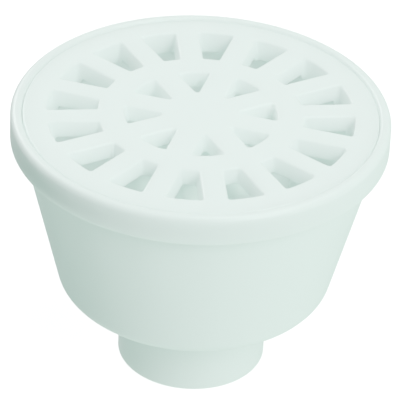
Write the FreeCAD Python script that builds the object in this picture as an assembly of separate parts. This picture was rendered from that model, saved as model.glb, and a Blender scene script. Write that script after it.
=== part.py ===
import FreeCAD, Part
import math
import os

os.makedirs("parts", exist_ok=True)

# Collar that ends level with the finished floor, with a lip round the grille
collar_diameter = 100.0
collar_height = 8.0
collar_edge_radius = 1.5
collar_foot_radius = 0.5
collar_overhang = 2.9
lip_width = 3.0
lip_inner_edge_radius = 0.9

# Cup that narrows from the collar to the outlet
cup_height = 52.9
cup_base_diameter = 72.4
cup_wall = 2.2
cup_floor = 2.2
cup_outer_corner_radius = 4.8
cup_inner_corner_radius = 3.0

# Outlet spigot that enters the socket of a 40 mm pipe
spigot_diameter = 40.0
spigot_length = 23.6
spigot_wall = 1.8
spigot_end_radius = 0.5
spigot_root_radius = 0.8

# Standpipe inside the cup, whose top edge is the weir of the trap
standpipe_bore = 30.0
standpipe_wall = 2.0
standpipe_height = 28.0
standpipe_root_radius = 1.5

# Draft of the walls that leave the mould along the axis
wall_draft_deg = 1.0

# Round grille that lies on the seat in the collar
grille_recess = 0.4
grille_clearance = 0.2
grille_rim_height = 5.7
grille_plate = 4.3
grille_edge_radius = 0.5
seat_width = 2.4

# Ring of outer slots and ring of inner slots, between spokes of even width
grille_rim_width = 6.3
outer_slot_count = 16
outer_spoke_width = 6.1
middle_ring_width = 7.0
inner_slot_count = 8
inner_spoke_width = 7.0
inner_slot_end_radius = 20.1
slot_corner_radius = 0.7
slot_edge_radius = 0.6
slot_draft_deg = 10.0
rim_foot_inset = 0.3

# Bell over the standpipe: an inverted cup that hangs into the water
bell_water_gap = 5.5
bell_wall = 1.6
bell_floor_gap = 8.0
bell_head_gap = 6.5
bell_crown = 2.5
bell_shoulder_radius = 3.0

# Ribs inside the bell that stand on the standpipe and centre the bell on it
bell_rib_count = 4
bell_rib_thickness = 1.6
bell_rib_seat = 1.6
bell_rib_guide = 10.0
bell_rib_clearance = 0.3

# Heights and radii that follow from the sizes above
axis_origin = FreeCAD.Vector(0, 0, 0)
axis = FreeCAD.Vector(0, 0, 1)
full_turn = 360.0
overall_height = spigot_length + cup_height
collar_radius = collar_diameter / 2
collar_underside = overall_height - collar_height
cone_top_radius = collar_radius - collar_overhang
cup_base_radius = cup_base_diameter / 2
floor_top = spigot_length + cup_floor
pocket_radius = collar_radius - lip_width
grille_top = overall_height - grille_recess
seat_height = grille_top - grille_rim_height
seat_inner_radius = pocket_radius - seat_width
grille_radius = pocket_radius - grille_clearance
outer_slot_end_radius = grille_radius - grille_rim_width
outer_slot_start_radius = inner_slot_end_radius + middle_ring_width
spigot_radius = spigot_diameter / 2
spigot_bore_radius = spigot_radius - spigot_wall
standpipe_bore_radius = standpipe_bore / 2
standpipe_top = floor_top + standpipe_height
standpipe_top_radius = standpipe_bore_radius + standpipe_wall
wall_slope = math.tan(math.radians(wall_draft_deg))
slot_slope = math.tan(math.radians(slot_draft_deg))
bell_edge = floor_top + bell_floor_gap
bell_shoulder = standpipe_top + bell_head_gap
bell_inner_radius = standpipe_top_radius + bell_water_gap


def point(radius, height):
    """A point of a section through the axis."""
    return FreeCAD.Vector(radius, 0, height)


def rounded_face(corners):
    """Face of a section from corners (radius, height, rounding), each rounded by an arc where rounding is set."""
    edges = []
    starts = []
    ends = []
    for place, (radius, height, rounding) in enumerate(corners):
        corner = point(radius, height)
        before = point(*corners[place - 1][:2])
        after = point(*corners[(place + 1) % len(corners)][:2])
        back = (before - corner).normalize()
        ahead = (after - corner).normalize()
        if rounding == 0:
            starts.append(corner)
            ends.append(corner)
            edges.append(None)
            continue
        half_angle = back.getAngle(ahead) / 2
        setback = rounding / math.tan(half_angle)
        inward = (back + ahead).normalize()
        middle = corner + inward * (rounding / math.sin(half_angle) - rounding)
        starts.append(corner + back * setback)
        ends.append(corner + ahead * setback)
        edges.append(Part.Arc(starts[-1], middle, ends[-1]).toShape())
    outline = []
    for place, arc in enumerate(edges):
        if arc is not None:
            outline.append(arc)
        outline.append(Part.makeLine(ends[place], starts[(place + 1) % len(edges)]))
    return Part.Face(Part.Wire(outline))


def turned(face):
    """Solid of revolution of a section face."""
    return face.revolve(axis_origin, axis, full_turn)


def array_round_axis(shape, count):
    """Copies of a shape, evenly spaced round the axis."""
    copies = []
    for place in range(count):
        copy = shape.copy()
        copy.rotate(axis_origin, axis, full_turn * place / count)
        copies.append(copy)
    return copies


def drain_body():
    """Collar, cup, floor, spigot and standpipe, in one turned section."""
    standpipe_foot_radius = standpipe_top_radius + wall_slope * standpipe_height
    bore_shoulder = floor_top - (spigot_bore_radius - standpipe_bore_radius)
    standpipe_edge_radius = standpipe_wall / 4
    corners = [
        (spigot_bore_radius, 0, 0),
        (spigot_radius, 0, spigot_end_radius),
        (spigot_radius, spigot_length, spigot_root_radius),
        (cup_base_radius, spigot_length, cup_outer_corner_radius),
        (cone_top_radius, collar_underside, collar_foot_radius),
        (collar_radius, collar_underside, collar_foot_radius),
        (collar_radius, overall_height, collar_edge_radius),
        (pocket_radius, overall_height, lip_inner_edge_radius),
        (pocket_radius, seat_height, 0),
        (seat_inner_radius, seat_height, 0),
        (cup_base_radius - cup_wall, floor_top, cup_inner_corner_radius),
        (standpipe_foot_radius, floor_top, standpipe_root_radius),
        (standpipe_top_radius, standpipe_top, 0),
        (standpipe_bore_radius, standpipe_top, standpipe_edge_radius),
        (standpipe_bore_radius, floor_top, 0),
        (spigot_bore_radius, bore_shoulder, 0),
    ]
    return turned(rounded_face(corners))


def on_circle(radius, angle, height):
    """A point at an angle round the axis."""
    return FreeCAD.Vector(radius * math.cos(angle), radius * math.sin(angle), height)


def circle_arc(radius, angle, height):
    """Arc round the axis from minus the angle to plus the angle."""
    ends = [on_circle(radius, turn, height) for turn in (-angle, 0, angle)]
    return Part.Arc(*ends).toShape()


def slot_outline(start_radius, end_radius, spoke_width, count, drop):
    """Outline of one slot at a depth below the grille's face; the slot narrows downwards by its draft."""
    inset = slot_slope * drop
    half_pitch = math.pi / count
    half_spoke = spoke_width / 2 + inset
    far = end_radius - inset
    near = start_radius + inset
    height = grille_top - drop
    far_angle = half_pitch - math.asin(half_spoke / far)
    far_left = on_circle(far, -far_angle, height)
    far_right = on_circle(far, far_angle, height)
    apex_radius = half_spoke / math.sin(half_pitch)
    if near <= apex_radius:
        apex = on_circle(apex_radius, 0, height)
        sides = [Part.makeLine(far_right, apex), Part.makeLine(apex, far_left)]
        return Part.Wire([circle_arc(far, far_angle, height)] + sides)
    near_angle = half_pitch - math.asin(half_spoke / near)
    near_left = on_circle(near, -near_angle, height)
    near_right = on_circle(near, near_angle, height)
    near_arc = Part.Arc(near_right, on_circle(near, 0, height), near_left).toShape()
    sides = [Part.makeLine(far_right, near_right), near_arc, Part.makeLine(near_left, far_left)]
    return Part.Wire([circle_arc(far, far_angle, height)] + sides)


def slot_cutter(start_radius, end_radius, spoke_width, count):
    """Drafted prism of one slot with rounded corners, reaching past both faces of the grille."""
    above = -slot_edge_radius
    below = grille_rim_height + slot_edge_radius
    outlines = [slot_outline(start_radius, end_radius, spoke_width, count, drop) for drop in (above, below)]
    prism = Part.makeLoft(outlines, True, True)
    upright = [edge for edge in prism.Edges if edge.BoundBox.ZLength > grille_rim_height]
    return prism.makeFillet(slot_corner_radius, upright)


def grille():
    """Flat disc with a deeper rim, two rings of slots, and rounded edges on its face."""
    plate_underside = grille_top - grille_plate
    rim_inner_radius = outer_slot_end_radius - slot_slope * grille_rim_height - rim_foot_inset
    rim_draft = slot_slope * (grille_rim_height - grille_plate)
    corners = [
        (0, plate_underside, 0),
        (rim_inner_radius - rim_draft, plate_underside, 0),
        (rim_inner_radius, seat_height, 0),
        (grille_radius, seat_height, grille_edge_radius),
        (grille_radius, grille_top, grille_edge_radius),
        (0, grille_top, 0),
    ]
    disc = turned(rounded_face(corners))
    outer = slot_cutter(outer_slot_start_radius, outer_slot_end_radius, outer_spoke_width, outer_slot_count)
    inner = slot_cutter(0, inner_slot_end_radius, inner_spoke_width, inner_slot_count)
    slots = array_round_axis(outer, outer_slot_count) + array_round_axis(inner, inner_slot_count)
    half_pitch = full_turn / outer_slot_count / 2
    for slot in slots[:outer_slot_count]:
        slot.rotate(axis_origin, axis, half_pitch)
    pierced = disc.cut(slots)
    face_edges = []
    for edge in pierced.Edges:
        box = edge.BoundBox
        on_face = abs(box.ZMin - grille_top) < slot_edge_radius and box.ZLength < slot_edge_radius / 2
        reach = max(math.hypot(corner.X, corner.Y) for corner in edge.Vertexes)
        if on_face and reach < outer_slot_end_radius + slot_edge_radius:
            face_edges.append(edge)
    return pierced.makeFillet(slot_edge_radius, face_edges).Solids[0]


def dome(offset):
    """Solid inverted cup whose wall lies outside the bell's inner face by the offset."""
    top_radius = bell_inner_radius + offset
    shoulder = bell_shoulder + offset
    edge_radius = top_radius + wall_slope * (bell_shoulder - bell_edge)
    crown_top = point(0, shoulder + bell_crown)
    crown_edge = point(top_radius, shoulder)
    sphere_radius = (top_radius ** 2 + bell_crown ** 2) / (2 * bell_crown)
    half_way = top_radius / 2
    half_drop = sphere_radius - math.sqrt(sphere_radius ** 2 - half_way ** 2)
    crown_middle = point(half_way, shoulder + bell_crown - half_drop)
    outline = [
        Part.makeLine(point(0, bell_edge), point(edge_radius, bell_edge)),
        Part.makeLine(point(edge_radius, bell_edge), crown_edge),
        Part.Arc(crown_edge, crown_middle, crown_top).toShape(),
        Part.makeLine(crown_top, point(0, bell_edge)),
    ]
    cup = turned(Part.Face(Part.Wire(outline)))
    rounded = []
    for edge in cup.Edges:
        box = edge.BoundBox
        if box.ZLength < bell_wall / 2 and box.ZMin > standpipe_top:
            rounded.append(edge)
    return cup.makeFillet(bell_shoulder_radius + offset, rounded)


def bell_rib():
    """One rib, from the bell's wall to the standpipe's top edge and down beside the standpipe."""
    guide_radius = standpipe_top_radius + bell_rib_clearance
    guide_foot_radius = guide_radius + wall_slope * bell_rib_guide
    seat_radius = standpipe_top_radius - bell_rib_seat
    guide_foot = standpipe_top - bell_rib_guide
    reach = bell_inner_radius + wall_slope * standpipe_top + bell_wall
    above = bell_shoulder + bell_crown + bell_wall
    outline = Part.makePolygon([
        point(seat_radius, standpipe_top),
        point(guide_radius, standpipe_top),
        point(guide_foot_radius, guide_foot),
        point(reach, guide_foot),
        point(reach, above),
        point(seat_radius, above),
        point(seat_radius, standpipe_top),
    ])
    rib = Part.Face(outline).extrude(FreeCAD.Vector(0, bell_rib_thickness, 0))
    rib.translate(FreeCAD.Vector(0, -bell_rib_thickness / 2, 0))
    return rib


def siphon_bell():
    """Inverted cup with ribs inside; the ribs end within its wall."""
    shell = dome(bell_wall).cut(dome(0))
    within_wall = dome(bell_wall / 2)
    ribs = [rib.common(within_wall) for rib in array_round_axis(bell_rib(), bell_rib_count)]
    return shell.fuse(ribs).removeSplitter().Solids[0]


for name, solid in (("drain_body", drain_body()), ("grille", grille()), ("siphon_bell", siphon_bell())):
    solid.exportStep("parts/" + name + ".step")
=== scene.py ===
import math

import bmesh
import bpy
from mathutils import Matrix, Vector
from mathutils.geometry import delaunay_2d_cdt


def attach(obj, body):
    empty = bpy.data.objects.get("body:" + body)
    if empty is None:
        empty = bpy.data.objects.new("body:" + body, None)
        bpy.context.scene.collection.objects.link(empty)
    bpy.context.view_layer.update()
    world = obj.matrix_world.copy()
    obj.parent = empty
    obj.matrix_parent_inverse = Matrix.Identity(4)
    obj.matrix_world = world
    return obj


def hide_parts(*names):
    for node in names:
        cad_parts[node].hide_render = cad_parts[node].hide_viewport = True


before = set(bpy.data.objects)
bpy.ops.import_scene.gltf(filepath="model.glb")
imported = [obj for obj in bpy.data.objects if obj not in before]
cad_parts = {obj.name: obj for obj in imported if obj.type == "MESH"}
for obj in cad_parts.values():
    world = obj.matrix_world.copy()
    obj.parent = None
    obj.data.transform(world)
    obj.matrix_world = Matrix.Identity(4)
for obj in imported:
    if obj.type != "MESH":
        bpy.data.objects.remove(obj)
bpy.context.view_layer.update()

# Drain body: one injection moulding in white rigid PVC: collar, conical cup, floor, spigot and standpipe.
# Its section is turned round the axis, and every corner has the small radius that a mould leaves.
# It stands on the spigot's end; in use the spigot sits in a pipe socket and the collar in the floor.
mm = 0.001
collar_radius = 50 * mm
pocket_radius = 47 * mm
collar_top = 76.5 * mm
collar_underside = 68.5 * mm
cone_top_radius = 47.1 * mm
cup_base_radius = 36.2 * mm
cup_underside = 23.6 * mm
floor_top = 25.8 * mm
floor_edge_radius = 34 * mm
seat_height = 70.4 * mm
seat_inner_radius = 44.6 * mm
spigot_radius = 20 * mm
spigot_bore_radius = 18.2 * mm
bore_shoulder = 22.6 * mm
standpipe_top = 53.8 * mm
standpipe_bore_radius = 15 * mm
standpipe_top_radius = 17 * mm
standpipe_foot_radius = 17.49 * mm
spigot_end_rounding = 0.5 * mm
spigot_root_rounding = 0.8 * mm
cup_corner_rounding = 4.8 * mm
cup_inner_rounding = 3 * mm
collar_foot_rounding = 0.5 * mm
collar_edge_rounding = 1.5 * mm
lip_edge_rounding = 0.9 * mm
standpipe_root_rounding = 1.5 * mm
standpipe_edge_rounding = 0.5 * mm
crisp = 0.15 * mm
arc_steps = 8
arc_margin = 0.12 * mm
body_steps_round = 216
body_section = [
    (spigot_bore_radius, 0, crisp),
    (spigot_radius, 0, spigot_end_rounding),
    (spigot_radius, cup_underside, spigot_root_rounding),
    (cup_base_radius, cup_underside, cup_corner_rounding),
    (cone_top_radius, collar_underside, collar_foot_rounding),
    (collar_radius, collar_underside, collar_foot_rounding),
    (collar_radius, collar_top, collar_edge_rounding),
    (pocket_radius, collar_top, lip_edge_rounding),
    (pocket_radius, seat_height, crisp),
    (seat_inner_radius, seat_height, crisp),
    (floor_edge_radius, floor_top, cup_inner_rounding),
    (standpipe_foot_radius, floor_top, standpipe_root_rounding),
    (standpipe_top_radius, standpipe_top, crisp),
    (standpipe_bore_radius, standpipe_top, standpipe_edge_rounding),
    (standpipe_bore_radius, floor_top, crisp),
    (spigot_bore_radius, bore_shoulder, crisp),
]


def moulded_section(corners, steps):
    """Points of a section from corners (radius, height, rounding), with a point beside each end of an arc."""
    points = []
    for place, (radius, height, rounding) in enumerate(corners):
        corner = Vector((radius, height))
        if rounding == 0:
            points.append(corner)
            continue
        back = (Vector(corners[place - 1][:2]) - corner).normalized()
        ahead = (Vector(corners[(place + 1) % len(corners)][:2]) - corner).normalized()
        half_angle = back.angle(ahead) / 2
        setback = rounding / math.tan(half_angle)
        centre = corner + (back + ahead).normalized() * rounding / math.sin(half_angle)
        first = corner + back * setback - centre
        last = corner + ahead * setback - centre
        points.append(centre + first + back * arc_margin)
        points.extend(centre + rounding * first.slerp(last, step / steps) for step in range(steps + 1))
        points.append(centre + last + ahead * arc_margin)
    return points


class Field:
    """A socket of a node tree that takes part in sums as a number does."""

    def __init__(self, tree, socket=None):
        self.tree = tree
        self.socket = socket

    def node(self, kind, settings=(), sockets=(), output=0):
        """A new node of the same tree: its settings first, then its sockets' values or links."""
        made = self.tree.nodes.new(kind)
        for name, value in dict(settings).items():
            setattr(made, name, value)
        for name, value in dict(sockets).items():
            if isinstance(value, Field):
                self.tree.links.new(value.socket, made.inputs[name])
            else:
                made.inputs[name].default_value = value
        return Field(self.tree, made.outputs[output] if len(made.outputs) else None)

    def maths(self, operation, first, second):
        """A Math node on two values, numbers or fields."""
        return self.node("ShaderNodeMath", {"operation": operation}, {0: first, 1: second})

    def between(self, first, second):
        """A colour between two colours, with this value as the share of the second."""
        first_colour, second_colour, mixed_colour = 6, 7, 2
        sockets = {"Factor": self, first_colour: first, second_colour: second}
        return self.node("ShaderNodeMix", {"data_type": "RGBA"}, sockets, mixed_colour)

    def __add__(self, other):
        return self.maths("ADD", self, other)

    __radd__ = __add__

    def __mul__(self, other):
        return self.maths("MULTIPLY", self, other)

    __rmul__ = __mul__

    def __truediv__(self, other):
        return self.maths("DIVIDE", self, other)

    def __rtruediv__(self, other):
        return self.maths("DIVIDE", other, self)


def shaping_tree(name, inputs):
    """A geometry tree with a geometry output and nothing in it yet; gives the tree and its inputs by name."""
    tree = bpy.data.node_groups.new(name, "GeometryNodeTree")
    tree.interface.new_socket("Geometry", in_out="INPUT", socket_type="NodeSocketGeometry")
    for title, kind in inputs:
        tree.interface.new_socket(title, in_out="INPUT", socket_type=kind)
    tree.interface.new_socket("Geometry", in_out="OUTPUT", socket_type="NodeSocketGeometry")
    entry = tree.nodes.new("NodeGroupInput")
    return tree, {socket.name: Field(tree, socket) for socket in entry.outputs if socket.name}


def close_shape(shape, material):
    """The end of every shaping tree: no instances, doubles merged, smooth shading and the material."""
    weld_distance = 0.002 * mm
    realised = shape.node("GeometryNodeRealizeInstances", (), {"Geometry": shape})
    merged = shape.node("GeometryNodeMergeByDistance", (), {"Geometry": realised, "Distance": weld_distance})
    smooth = shape.node("GeometryNodeSetShadeSmooth", (), {"Geometry": merged})
    dressed = shape.node("GeometryNodeSetMaterial", (), {"Geometry": smooth, "Material": material})
    shape.node("NodeGroupOutput", (), {"Geometry": dressed})


def turning_tree():
    """Turns a line of points in the XZ plane round the Z axis into a closed skin."""
    inputs = [("Steps Round", "NodeSocketInt"), ("Material", "NodeSocketMaterial")]
    tree, given = shaping_tree("turned section", inputs)
    section = given["Geometry"]
    steps = given["Steps Round"]
    count = steps.node("GeometryNodeAttributeDomainSize", (), {"Geometry": section}, "Point Count")
    grid = steps.node("GeometryNodeMeshGrid", (), {"Vertices X": steps + 1, "Vertices Y": count})
    index = steps.node("GeometryNodeInputIndex")
    row = steps.maths("FLOORED_MODULO", index, count)
    column = steps.maths("FLOOR", index / count, 0)
    position = steps.node("GeometryNodeInputPosition")
    kind = {"data_type": "FLOAT_VECTOR", "domain": "POINT"}
    reading = {"Geometry": section, "Value": position, "Index": row}
    on_section = steps.node("GeometryNodeSampleIndex", kind, reading)
    turn = column / steps * (2 * math.pi)
    turning = {"Vector": on_section, "Angle": turn}
    turned = steps.node("ShaderNodeVectorRotate", {"rotation_type": "Z_AXIS"}, turning)
    skin = steps.node("GeometryNodeSetPosition", (), {"Geometry": grid, "Position": turned})
    close_shape(skin, given["Material"])
    return tree


def shaped(name, start, tree, values):
    """Runs a shaping tree on a start mesh and returns the result as a plain mesh with outward faces."""
    holder = bpy.data.objects.new(name, start)
    bpy.context.scene.collection.objects.link(holder)
    shaping = holder.modifiers.new("shaping", "NODES")
    shaping.node_group = tree
    for socket in tree.interface.items_tree:
        if socket.in_out == "INPUT" and socket.name in values:
            shaping[socket.identifier] = values[socket.name]
    evaluated = holder.evaluated_get(bpy.context.evaluated_depsgraph_get())
    mesh = bpy.data.meshes.new_from_object(evaluated)
    holder.modifiers.remove(shaping)
    bpy.data.objects.remove(holder)
    work = bmesh.new()
    work.from_mesh(mesh)
    bmesh.ops.recalc_face_normals(work, faces=work.faces)
    work.to_mesh(mesh)
    work.free()
    mesh.name = name
    return mesh


def line_mesh(name, points):
    """Points (radius, height) as vertices of the XZ plane."""
    mesh = bpy.data.meshes.new(name)
    mesh.from_pydata([(point[0], 0, point[1]) for point in points], [], [])
    return mesh


def moulded_pvc(name, deep, pale):
    """White rigid PVC from a polished mould: faint clouding, fine ripple, uneven gloss and a milky depth."""
    material = bpy.data.materials.new(name)
    material.use_nodes = True
    tree = material.node_tree
    shader = tree.nodes["Principled BSDF"]
    place = Field(tree, tree.nodes.new("ShaderNodeTexCoord").outputs["Object"])

    def noise(scale, detail, distortion=0):
        """Noise over the piece; the scale is in waves to the metre."""
        sockets = {"Vector": place, "Scale": scale, "Detail": detail, "Distortion": distortion}
        return place.node("ShaderNodeTexNoise", (), sockets, "Fac")

    cloud = noise(scale=34, detail=3)
    flow = noise(scale=160, detail=2, distortion=0.8)
    ripple = noise(scale=620, detail=2)
    speck = noise(scale=2600, detail=1)
    blend = cloud * 0.7 + flow * 0.3
    colour = blend.between(deep, pale)
    satin = 0.27
    gloss = satin + flow * 0.1 + speck * 0.06
    height = ripple * 0.75 + speck * 0.25
    bump = place.node("ShaderNodeBump", (), {"Strength": 0.12, "Distance": 0.03 * mm, "Height": height})
    tree.links.new(colour.socket, shader.inputs["Base Color"])
    tree.links.new(gloss.socket, shader.inputs["Roughness"])
    tree.links.new(bump.socket, shader.inputs["Normal"])
    shader.inputs["IOR"].default_value = 1.53
    shader.inputs["Subsurface Weight"].default_value = 1
    shader.inputs["Subsurface Radius"].default_value = (1, 1, 1)
    shader.inputs["Subsurface Scale"].default_value = 4 * mm
    return material


def finished_piece(mesh, node):
    """The mesh as the shown piece that stands for a CAD node."""
    piece = bpy.data.objects.new(mesh.name, mesh)
    bpy.context.scene.collection.objects.link(piece)
    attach(piece, "root")
    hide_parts(node)


turned_section = turning_tree()
pvc_deep = (0.885, 0.955, 0.935, 1)
pvc_pale = (0.915, 0.97, 0.955, 1)
body_pvc = moulded_pvc("body_pvc", pvc_deep, pvc_pale)
body_line = moulded_section(body_section, arc_steps)
body_start = line_mesh("body_line", body_line + body_line[:1])
body_values = {"Steps Round": body_steps_round, "Material": body_pvc}
body_mesh = shaped("drain_body_skin", body_start, turned_section, body_values)
finished_piece(body_mesh, "drain_body")

# Siphon bell: a separate inverted cup in the same PVC over the standpipe; its edge hangs into the water.
# Four ribs moulded inside it stand on the standpipe's top edge and keep it central, so it lifts straight off.
# Its rounded crown shows under the grille.
bell_edge = 33.8 * mm
bell_shoulder = 60.3 * mm
bell_inner_radius = 22.5 * mm
bell_edge_inner_radius = 22.96 * mm
bell_wall = 1.6 * mm
bell_crown = 2.5 * mm
bell_shoulder_radius = 3 * mm
bell_edge_rounding = 0.3 * mm
bell_steps_round = 128
crown_share = 0.8
crown_steps = 10
rib_count = 4
rib_half = 0.8 * mm
rib_seat_radius = 15.4 * mm
rib_guide_radius = 17.3 * mm
rib_guide_flare = 0.17 * mm
rib_foot = 43.8 * mm
rib_shoulder_inset = 1.2 * mm
rib_shoulder_rise = 0.4 * mm
rib_seat_rise = 1.7 * mm
rib_sharp_angle = 0.3


def crown_points(edge_radius, shoulder):
    """Points of a shallow dome from the axis outwards, ending short of its edge, with no rounding."""
    sphere = (edge_radius ** 2 + bell_crown ** 2) / (2 * bell_crown)
    centre = shoulder + bell_crown - sphere
    radii = [edge_radius * crown_share * step / crown_steps for step in range(crown_steps + 1)]
    return [(radius, centre + math.sqrt(sphere ** 2 - radius ** 2), 0) for radius in radii]


bell_outer_radius = bell_inner_radius + bell_wall
bell_outer_shoulder = bell_shoulder + bell_wall
bell_section = crown_points(bell_outer_radius, bell_outer_shoulder) + [
    (bell_outer_radius, bell_outer_shoulder, bell_shoulder_radius + bell_wall),
    (bell_edge_inner_radius + bell_wall, bell_edge, bell_edge_rounding),
    (bell_edge_inner_radius, bell_edge, bell_edge_rounding),
    (bell_inner_radius, bell_shoulder, bell_shoulder_radius),
] + crown_points(bell_inner_radius, bell_shoulder)[::-1]


def turning_array_tree():
    """Copies a start mesh evenly round the Z axis."""
    inputs = [("Count", "NodeSocketInt"), ("Material", "NodeSocketMaterial")]
    tree, given = shaping_tree("copies round the axis", inputs)
    count = given["Count"]
    points = count.node("GeometryNodePoints", (), {"Count": count})
    turn = count.node("GeometryNodeInputIndex") / count * (2 * math.pi)
    turning = count.node("ShaderNodeCombineXYZ", (), {"Z": turn})
    rotation = count.node("FunctionNodeEulerToRotation", (), {"Euler": turning})
    placing = {"Points": points, "Instance": given["Geometry"], "Rotation": rotation}
    copies = count.node("GeometryNodeInstanceOnPoints", (), placing)
    close_shape(copies, given["Material"])
    return tree


def rib_mesh():
    """One rib: a thin plate with a step that sits on the standpipe."""
    outline = [
        (rib_seat_radius, standpipe_top),
        (rib_guide_radius, standpipe_top),
        (rib_guide_radius + rib_guide_flare, rib_foot),
        (bell_edge_inner_radius, rib_foot),
        (bell_inner_radius + bell_wall / 2, bell_shoulder - bell_shoulder_radius),
        (bell_inner_radius - rib_shoulder_inset, bell_shoulder + rib_shoulder_rise),
        (rib_seat_radius, bell_shoulder + rib_seat_rise),
    ]
    work = bmesh.new()
    face = work.faces.new([work.verts.new((radius, -rib_half, height)) for radius, height in outline])
    grown = bmesh.ops.extrude_face_region(work, geom=[face])
    moved = [part for part in grown["geom"] if isinstance(part, bmesh.types.BMVert)]
    bmesh.ops.translate(work, verts=moved, vec=(0, 2 * rib_half, 0))
    bmesh.ops.recalc_face_normals(work, faces=work.faces)
    sharp = [edge for edge in work.edges if edge.calc_face_angle(0) > rib_sharp_angle]
    bmesh.ops.bevel(work, geom=sharp, offset=crisp, segments=2, profile=0.5, affect="EDGES")
    mesh = bpy.data.meshes.new("bell_rib")
    work.to_mesh(mesh)
    work.free()
    return mesh


turned_copies = turning_array_tree()
bell_pvc = moulded_pvc("bell_pvc", pvc_deep, pvc_pale)
bell_line = moulded_section(bell_section, arc_steps)
bell_start = line_mesh("bell_line", bell_line)
bell_values = {"Steps Round": bell_steps_round, "Material": bell_pvc}
bell_mesh = shaped("siphon_bell_skin", bell_start, turned_section, bell_values)
ribs = shaped("bell_ribs", rib_mesh(), turned_copies, {"Count": rib_count, "Material": bell_pvc})
joined = bmesh.new()
joined.from_mesh(bell_mesh)
joined.from_mesh(ribs)
joined.to_mesh(bell_mesh)
joined.free()
finished_piece(bell_mesh, "siphon_bell")

# Grille: one flat round moulding in the same PVC that lies loose on the seat inside the collar's lip.
# Sixteen outer and eight inner slots narrow downwards between even spokes; a deeper rim rests on the seat.
# An eighth of it, with two outer slots and one inner slot, is shaped once and copied round the axis.
grille_radius = 46.8 * mm
grille_top = 76.1 * mm
plate_underside = 71.8 * mm
outer_slot_start = 27.1 * mm
outer_slot_end = 40.5 * mm
outer_spoke_half = 3.05 * mm
inner_slot_end = 20.1 * mm
inner_spoke_half = 3.5 * mm
slot_corner = 0.7 * mm
slot_edge = 0.6 * mm
underside_edge = 0.25 * mm
slot_draft = math.radians(10)
rim_foot_run = 0.7 * mm
rim_margin = 2 * mm
rim_edge_rounding = 0.5 * mm
outer_slots = 16
eighths = 8
outer_half_pitch = math.pi / outer_slots
eighth_half = math.pi / eighths
rim_steps = body_steps_round // eighths
rim_arc_steps = 6
corner_steps = 6
near_end_steps = 4
wedge_steps = 8
slot_edge_steps = 7
underside_edge_steps = 3
full_turn = 2 * math.pi
axis_point = Vector((0, 0))


def along(angle, radius):
    """Point of the plan at an angle and a radius."""
    return radius * Vector((math.cos(angle), math.sin(angle)))


def arc_points(centre, radius, begin, end, steps):
    """Points of an arc in the plan."""
    return [centre + along(begin + (end - begin) * step / steps, radius) for step in range(steps + 1)]


def outer_slot_loop(middle, inset, spread):
    """Plan of an outer slot round its middle angle: set in by its draft, then spread round its corners."""
    side_half = outer_spoke_half + inset
    end_centre = outer_slot_end - inset - slot_corner
    start_centre = outer_slot_start + inset + slot_corner
    far = outer_half_pitch - math.asin((side_half + slot_corner) / end_centre)
    near = outer_half_pitch - math.asin((side_half + slot_corner) / start_centre)
    side = outer_half_pitch + math.pi / 2
    corner = slot_corner + spread
    first_far, second_far = along(middle - far, end_centre), along(middle + far, end_centre)
    first_near, second_near = along(middle - near, start_centre), along(middle + near, start_centre)
    loop = arc_points(first_far, corner, middle - side, middle - far, corner_steps)
    loop += arc_points(axis_point, end_centre + corner, middle - far, middle + far, corner_steps)[1:-1]
    loop += arc_points(second_far, corner, middle + far, middle + side, corner_steps)
    foot = loop[0].length - rim_foot_run
    foot_angle = outer_half_pitch - math.asin((side_half - spread) / foot)
    loop.append(along(middle + foot_angle, foot))
    loop += arc_points(second_near, corner, middle + side, middle + near + math.pi, corner_steps)
    loop += arc_points(axis_point, start_centre - corner, middle + near, middle - near, near_end_steps)[1:-1]
    loop += arc_points(first_near, corner, middle - near + math.pi, middle + full_turn - side, corner_steps)
    loop.append(along(middle - foot_angle, foot))
    return loop


def inner_slot_loop(middle, inset, spread):
    """Plan of an inner slot, a wedge with a rounded tip."""
    reach = inner_spoke_half + inset + slot_corner
    end_centre = inner_slot_end - inset - slot_corner
    far = eighth_half - math.asin(reach / end_centre)
    side = eighth_half + math.pi / 2
    corner = slot_corner + spread
    first_far, second_far = along(middle - far, end_centre), along(middle + far, end_centre)
    tip = along(middle, reach / math.sin(eighth_half))
    loop = arc_points(first_far, corner, middle - side, middle - far, corner_steps)
    loop += arc_points(axis_point, end_centre + corner, middle - far, middle + far, wedge_steps)[1:-1]
    loop += arc_points(second_far, corner, middle + far, middle + side, corner_steps)
    loop += arc_points(tip, corner, middle + side, middle + full_turn - side, wedge_steps)
    return loop


def slot_levels():
    """Loops down a slot: share of the full depth, further depth, and spread beyond the drafted wall."""
    slope = math.tan(slot_draft)
    setback = slot_edge * (1 - math.sin(slot_draft)) / math.cos(slot_draft)
    levels = [(0, 0, setback + arc_margin)]
    for step in range(slot_edge_steps + 1):
        turn = (math.pi / 2 - slot_draft) * step / slot_edge_steps
        drop = slot_edge * (1 - math.cos(turn))
        levels.append((0, drop, setback - slot_edge * math.sin(turn) + slope * drop))
    levels.append((0, slot_edge + arc_margin, 0))
    levels.append((1, -underside_edge - arc_margin, 0))
    for step in range(underside_edge_steps + 1):
        turn = math.pi / 2 * step / underside_edge_steps
        levels.append((1, underside_edge * (math.sin(turn) - 1), underside_edge * (1 - math.cos(turn))))
    levels.append((1, 0, underside_edge + arc_margin))
    return levels


def slot_rings(work, outline, middle, deep_points):
    """Rings of vertices down the wall of one slot; its first points reach down to the rim's foot."""
    slope = math.tan(slot_draft)
    rings = []
    for share, further, spread in slot_levels():
        ring = []
        for place in range(len(outline(middle, 0, 0))):
            full_depth = grille_top - (seat_height if place < deep_points else plate_underside)
            depth = share * full_depth + further
            point = outline(middle, slope * depth, spread)[place]
            ring.append(work.verts.new((point.x, point.y, grille_top - depth)))
        rings.append(ring)
    return rings


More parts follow.
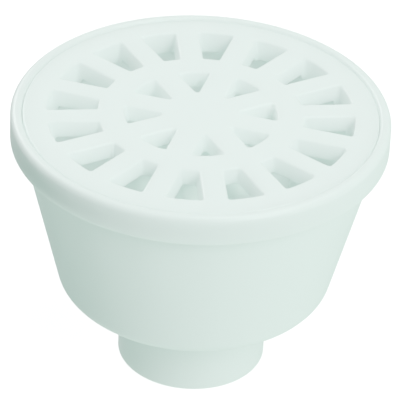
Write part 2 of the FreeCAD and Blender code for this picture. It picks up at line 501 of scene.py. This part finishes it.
def skin_between(work, rings, closed):
    """Quads between rings of vertices."""
    for upper, lower in zip(rings, rings[1:]):
        for place in range(len(upper) if closed else len(upper) - 1):
            after = (place + 1) % len(upper)
            work.faces.new([upper[place], upper[after], lower[after], lower[place]])


def inside(point, polygon):
    """Whether a point of the plan lies inside a polygon."""
    crossings = 0
    for place, here in enumerate(polygon):
        before = polygon[place - 1]
        if (here.y > point.y) != (before.y > point.y):
            crossing = here.x + (point.y - here.y) / (before.y - here.y) * (before.x - here.x)
            crossings += point.x < crossing
    return crossings % 2 == 1


def web(work, border, loops, creases):
    """Triangles inside a border and outside the slots' loops, with edges along the creases."""
    convex_hull = 0
    same_point = 1e-9
    rings = [border] + loops
    vertices = [vertex for ring in rings for vertex in ring]
    plan = [vertex.co.xy for vertex in vertices]
    number = {vertex: place for place, vertex in enumerate(vertices)}
    edges = [(number[first], number[second]) for first, second in creases]
    for ring in rings:
        edges += [(number[ring[place - 1]], number[ring[place]]) for place in range(len(ring))]
    points, _, faces, origin, _, _ = delaunay_2d_cdt(plan, edges, [], convex_hull, same_point)
    outline = [vertex.co.xy for vertex in border]
    holes = [[vertex.co.xy for vertex in loop] for loop in loops]
    for triangle in faces:
        middle = sum((points[corner] for corner in triangle), axis_point) / len(triangle)
        if inside(middle, outline) and not any(inside(middle, hole) for hole in holes):
            work.faces.new([vertices[origin[corner][0]] for corner in triangle])


def grille_eighth():
    """An eighth of the grille: face, slot walls, underside and rim."""
    work = bmesh.new()
    end_points = 3 * (corner_steps + 1) - 2
    slots = [
        (outer_slot_loop, -outer_half_pitch, end_points),
        (outer_slot_loop, outer_half_pitch, end_points),
        (inner_slot_loop, 0, 0),
    ]
    walls = [slot_rings(work, *slot) for slot in slots]
    for rings in walls:
        skin_between(work, rings, True)
    rim_line = [
        (grille_radius - rim_margin, grille_top, 0),
        (grille_radius, grille_top, rim_edge_rounding),
        (grille_radius, seat_height, rim_edge_rounding),
        (grille_radius - rim_margin, seat_height, 0),
    ]
    rim = []
    for radius, height in moulded_section(rim_line, rim_arc_steps):
        arc = arc_points(axis_point, radius, -eighth_half, eighth_half, rim_steps)
        rim.append([work.verts.new((point.x, point.y, height)) for point in arc])
    skin_between(work, rim, False)
    web(work, [work.verts.new((0, 0, grille_top))] + rim[0], [rings[0] for rings in walls], [])
    lows = [rings[-1] for rings in walls]
    first, second = lows[:2]
    deep_foot = [first[0], first[end_points - 1], second[0], second[end_points - 1]]
    flat_foot = [first[-1], first[end_points], second[-1], second[end_points]]
    border = [work.verts.new((0, 0, plate_underside))] + rim[-1]
    creases = []
    for foot in (deep_foot, flat_foot):
        radius = foot[0].co.xy.length
        ends = [along(angle, radius) for angle in (-eighth_half, eighth_half)]
        low_end, high_end = [work.verts.new((point.x, point.y, foot[0].co.z)) for point in ends]
        border.insert(1, low_end)
        border.append(high_end)
        creases += [(low_end, foot[0]), (foot[1], foot[2]), (foot[3], high_end)]
    web(work, border, lows, creases)
    mesh = bpy.data.meshes.new("grille_eighth")
    work.to_mesh(mesh)
    work.free()
    return mesh


grille_pvc = moulded_pvc("grille_pvc", pvc_deep, pvc_pale)
grille_values = {"Count": eighths, "Material": grille_pvc}
grille_mesh = shaped("grille_skin", grille_eighth(), turned_copies, grille_values)
finished_piece(grille_mesh, "grille")

# Studio: a white floor that only the camera sees, three soft lamps and a soft glow from below on the right.
# The photograph is very bright, with lifted shadows and a green cast, hence the display gamma and the tints.
floor_half = 3
floor_corners = [(x * floor_half, y * floor_half, 0) for x, y in ((-1, -1), (1, -1), (1, 1), (-1, 1))]
floor_mesh = bpy.data.meshes.new("studio_floor")
floor_mesh.from_pydata(floor_corners, [], [(0, 1, 2, 3)])
floor = bpy.data.objects.new("studio_floor", floor_mesh)
bpy.context.scene.collection.objects.link(floor)
floor.visible_diffuse = False
floor.visible_glossy = False
floor.visible_shadow = False
paper = bpy.data.materials.new("white_paper")
paper.use_nodes = True
paper_shader = paper.node_tree.nodes["Principled BSDF"]
paper_shader.inputs["Base Color"].default_value = (0.95, 0.95, 0.95, 1)
paper_shader.inputs["Roughness"].default_value = 0.9
paper_shader.inputs["Emission Color"].default_value = (1, 1, 1, 1)
paper_shader.inputs["Emission Strength"].default_value = 0.8
floor_mesh.materials.append(paper)
lamp_width = 0.6
lamp_aim = Vector((0, 0, 0.06))


def soft_lamp(name, place, power, colour):
    """A broad round lamp that faces the part."""
    lamp = bpy.data.lights.new(name, "AREA")
    lamp.shape = "DISK"
    lamp.size = lamp_width
    lamp.energy = power
    lamp.color = colour
    holder = bpy.data.objects.new(name, lamp)
    holder.location = place
    holder.rotation_euler = (lamp_aim - Vector(place)).to_track_quat("-Z", "Y").to_euler()
    bpy.context.scene.collection.objects.link(holder)


soft_lamp("key_lamp", (0.476, -0.786, 0.831), 5.2, (0.79, 1.0, 0.94))
soft_lamp("top_lamp", (0.31, 0.203, 1.201), 4.6, (0.72, 1.0, 0.87))
soft_lamp("back_lamp", (-0.409, 0.955, 0.66), 4.4, (0.9, 1.0, 0.98))
room_fill = (0.002, 0.03, 0.02, 1)
room_glow = (0.43, 0.69, 0.56, 1)
glow_direction = (0.50, -0.253, -0.828)
world = bpy.data.worlds.new("pale_room")
bpy.context.scene.world = world
world.use_nodes = True
outward = Field(world.node_tree, world.node_tree.nodes.new("ShaderNodeTexCoord").outputs["Generated"])
directions = {0: outward, 1: glow_direction}
towards = outward.node("ShaderNodeVectorMath", {"operation": "DOT_PRODUCT"}, directions, "Value")
nearness = outward.maths("MAXIMUM", towards, 0)
room = nearness.between(room_fill, room_glow)
world.node_tree.links.new(room.socket, world.node_tree.nodes["Background"].inputs["Color"])
bpy.context.scene.view_settings.view_transform = "Standard"
bpy.context.scene.view_settings.gamma = 3.5
light_bounces = 24
bpy.context.scene.cycles.max_bounces = light_bounces
bpy.context.scene.cycles.diffuse_bounces = light_bounces

# Camera: a long lens above the front, tipped a little to one side as in the photograph.
# Its place and its turn in degrees come from fitting the part's outline to the photograph's.
camera_place = (-84.31 * mm, -707.05 * mm, 532.67 * mm)
camera_turn = (55.757, -2.173, -5.3816)
lens = bpy.data.cameras.new("camera")
lens.sensor_width = 36
lens.lens = 290.4
lens.clip_start = 0.05
camera = bpy.data.objects.new("camera", lens)
camera.location = camera_place
camera.rotation_euler = [math.radians(angle) for angle in camera_turn]
bpy.context.scene.collection.objects.link(camera)
bpy.context.scene.camera = camera
